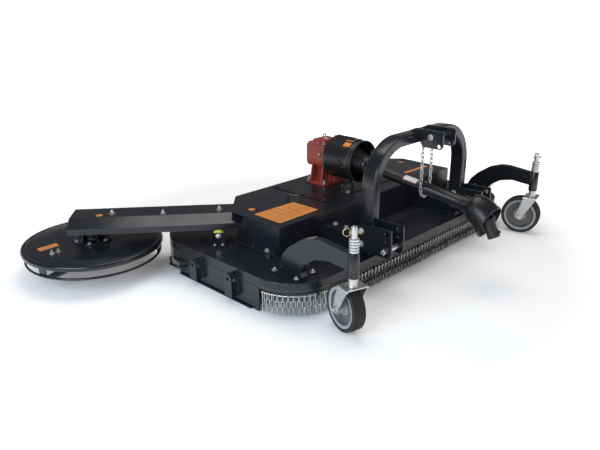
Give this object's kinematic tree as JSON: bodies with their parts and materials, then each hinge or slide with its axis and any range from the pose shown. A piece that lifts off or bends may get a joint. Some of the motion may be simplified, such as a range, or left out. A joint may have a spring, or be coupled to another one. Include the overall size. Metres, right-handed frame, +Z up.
{
  "type": "rotary mulcher",
  "caption": "Tractor mounted rotary mulcher with a hitch arch, guarded drive shaft, red gearbox, chain curtain, caster wheels and a side disc on a swing arm.",
  "frame": {"origin": "on the floor, under the middle of the whole machine's bounding box at rest", "axes": "+X across the machine, from the side disc's side to the other side; +Y to the rear, away from the tractor; +Z up"},
  "size_m": [2.8256, 2.2018, 0.8113],
  "materials": {
    "dark_paint": "gloss dark anthracite paint",
    "red_paint": "red paint on castings",
    "zinc_plate": "zinc plated",
    "plain_steel": "plain steel",
    "pulley_paint": "dark cast iron",
    "black_plastic": "black moulded plastic",
    "belt_rubber": "matt",
    "tyre": "matt black tyre rubber",
    "wheel_grey": "grey paint",
    "roller_yellow": "yellow green plastic"
  },
  "bodies": {
    "deck": {"roller_bracket": "dark_paint", "deck_shell": "dark_paint", "drive_cover": "dark_paint", "centre_plate": "dark_paint", "headstock_arch": "dark_paint", "left_lower_beam": "dark_paint", "right_lower_beam": "dark_paint", "left_inner_hitch_plate": "dark_paint", "right_inner_hitch_plate": "dark_paint", "left_outer_hitch_plate": "dark_paint", "right_outer_hitch_plate": "dark_paint", "left_top_link_plate": "dark_paint", "right_top_link_plate": "dark_paint", "left_caster_arm": "dark_paint", "right_caster_arm": "dark_paint", "gearbox_housing": "red_paint", "gearbox_lid": "red_paint", "side_guard_rod": "zinc_plate", "left_lifting_handle": "zinc_plate", "centre_lifting_handle": "zinc_plate", "sling_chain": "zinc_plate", "top_link_pin": "zinc_plate", "left_lower_link_pin": "zinc_plate", "right_lower_link_pin": "zinc_plate", "left_corner_chains": "zinc_plate", "right_corner_chains": "zinc_plate", "left_bearing_housing": "plain_steel", "right_bearing_housing": "plain_steel", "master_shield": "black_plastic", "left_drive_belt": "belt_rubber", "right_drive_belt": "belt_rubber"},
    "chain_curtain": {"front_chain_curtain": "zinc_plate"},
    "roller": {"arm_roller": "roller_yellow"},
    "shield_flap_hinge": {"shield_flap": "black_plastic"},
    "input_shaft": {"input_shaft_with_crown_gear": "plain_steel", "input_yoke": "plain_steel"},
    "output_shaft": {"output_shaft_with_pulley": "plain_steel"},
    "left_rotor": {"left_blade_rotor": "plain_steel", "left_rotor_pulley": "pulley_paint", "arm_drive_pulley": "pulley_paint"},
    "right_rotor": {"right_blade_rotor": "plain_steel", "right_rotor_pulley": "pulley_paint"},
    "swing_arm": {"swing_arm_cover": "dark_paint", "side_disc": "dark_paint", "disc_hub_housing": "plain_steel", "disc_guard_rod": "zinc_plate", "arm_belt": "belt_rubber"},
    "disc_rotor": {"disc_blade_rotor": "plain_steel", "disc_pulley": "pulley_paint"},
    "left_caster": {"left_caster_fork": "zinc_plate"},
    "left_wheel": {"left_tyre": "tyre", "left_wheel_rim": "wheel_grey"},
    "right_caster": {"right_caster_fork": "zinc_plate"},
    "right_wheel": {"right_tyre": "tyre", "right_wheel_rim": "wheel_grey"},
    "shaft_tilt": {"rear_shaft_guard": "black_plastic"},
    "rear_profile": {"outer_profile_tube": "plain_steel"},
    "shaft_slide": {"front_shaft_guard": "black_plastic"},
    "front_profile": {"inner_profile_bar": "plain_steel"},
    "tractor_yoke_hinge": {"tractor_yoke": "dark_paint"}
  },
  "joints": [
    {"name": "left_rotor_spin", "type": "hinge", "parent": "deck", "child": "left_rotor", "pos_m": [-0.19019, 0.0118, 0.062], "axis": [0, 0, 1], "continuous": true},
    {"name": "right_rotor_spin", "type": "hinge", "parent": "deck", "child": "right_rotor", "pos_m": [0.86981, 0.0118, 0.062], "axis": [0, 0, 1], "continuous": true},
    {"name": "output_spin", "type": "hinge", "parent": "deck", "child": "output_shaft", "pos_m": [0.33981, 0.1268, 0.186], "axis": [0, 0, 1], "continuous": true},
    {"name": "input_spin", "type": "hinge", "parent": "deck", "child": "input_shaft", "pos_m": [0.33981, 0.1268, 0.535], "axis": [0, 1, 0], "continuous": true},
    {"name": "rear_profile_spin", "type": "hinge", "parent": "shaft_tilt", "child": "rear_profile", "pos_m": [0.33981, -0.0732, 0.535], "axis": [0, 0.9914, 0.1305], "continuous": true},
    {"name": "front_profile_spin", "type": "hinge", "parent": "shaft_slide", "child": "front_profile", "pos_m": [0.33981, -0.60858, 0.46452], "axis": [0, 0.9914, 0.1305], "continuous": true},
    {"name": "disc_spin", "type": "hinge", "parent": "swing_arm", "child": "disc_rotor", "pos_m": [-1.01981, 0.70794, 0.085], "axis": [0, 0, 1], "continuous": true},
    {"name": "arm_swing", "type": "hinge", "parent": "deck", "child": "swing_arm", "pos_m": [-0.19019, 0.0118, 0.265], "axis": [0, 0, 1], "range_deg": [-45, 0], "stiffness_Nm_per_rad": 200},
    {"name": "shaft_guard_tilt", "type": "hinge", "parent": "deck", "child": "shaft_tilt", "pos_m": [0.33981, -0.0732, 0.535], "axis": [-1, 0, 0], "range_deg": [0, 9]},
    {"name": "shaft_telescope", "type": "slide", "parent": "shaft_tilt", "child": "shaft_slide", "axis": [0, -0.9914, -0.1305], "range_m": [-0.08, 0.1]},
    {"name": "tractor_joint", "type": "hinge", "parent": "shaft_slide", "child": "tractor_yoke_hinge", "pos_m": [0.33981, -1.0002, 0.41296], "axis": [1, 0, 0], "range_deg": [-50, 0]},
    {"name": "curtain_swing", "type": "hinge", "parent": "deck", "child": "chain_curtain", "pos_m": [0.33981, -0.6222, 0.115], "axis": [1, 0, 0], "range_deg": [-60, 45]},
    {"name": "shield_flap_swing", "type": "hinge", "parent": "deck", "child": "shield_flap_hinge", "pos_m": [0.33981, 0.0408, 0.667], "axis": [-1, 0, 0], "range_deg": [0, 100]},
    {"name": "arm_roller_spin", "type": "hinge", "parent": "deck", "child": "roller", "pos_m": [-0.56238, 0.12829, 0.2367], "axis": [-0.6428, -0.766, 0], "continuous": true},
    {"name": "left_caster_swivel", "type": "hinge", "parent": "deck", "child": "left_caster", "pos_m": [-0.57219, -0.8562, 0.292], "axis": [0, 0, 1], "continuous": true},
    {"name": "right_caster_swivel", "type": "hinge", "parent": "deck", "child": "right_caster", "pos_m": [1.25181, -0.8562, 0.292], "axis": [0, 0, 1], "continuous": true},
    {"name": "left_wheel_roll", "type": "hinge", "parent": "left_caster", "child": "left_wheel", "pos_m": [-0.55611, -0.80361, 0.122], "axis": [-0.9563, 0.2924, 0], "continuous": true},
    {"name": "right_wheel_roll", "type": "hinge", "parent": "right_caster", "child": "right_wheel", "pos_m": [1.23925, -0.80266, 0.122], "axis": [-0.9736, -0.2284, 0], "continuous": true}
  ],
  "couplings": [
    {"joint": "right_rotor_spin", "follows": "left_rotor_spin", "ratio": 1},
    {"joint": "output_spin", "follows": "left_rotor_spin", "ratio": 0.77273},
    {"joint": "input_spin", "follows": "left_rotor_spin", "ratio": -0.38636},
    {"joint": "rear_profile_spin", "follows": "left_rotor_spin", "ratio": -0.38636},
    {"joint": "front_profile_spin", "follows": "left_rotor_spin", "ratio": -0.38636},
    {"joint": "disc_spin", "follows": "left_rotor_spin", "ratio": 1}
  ]
}
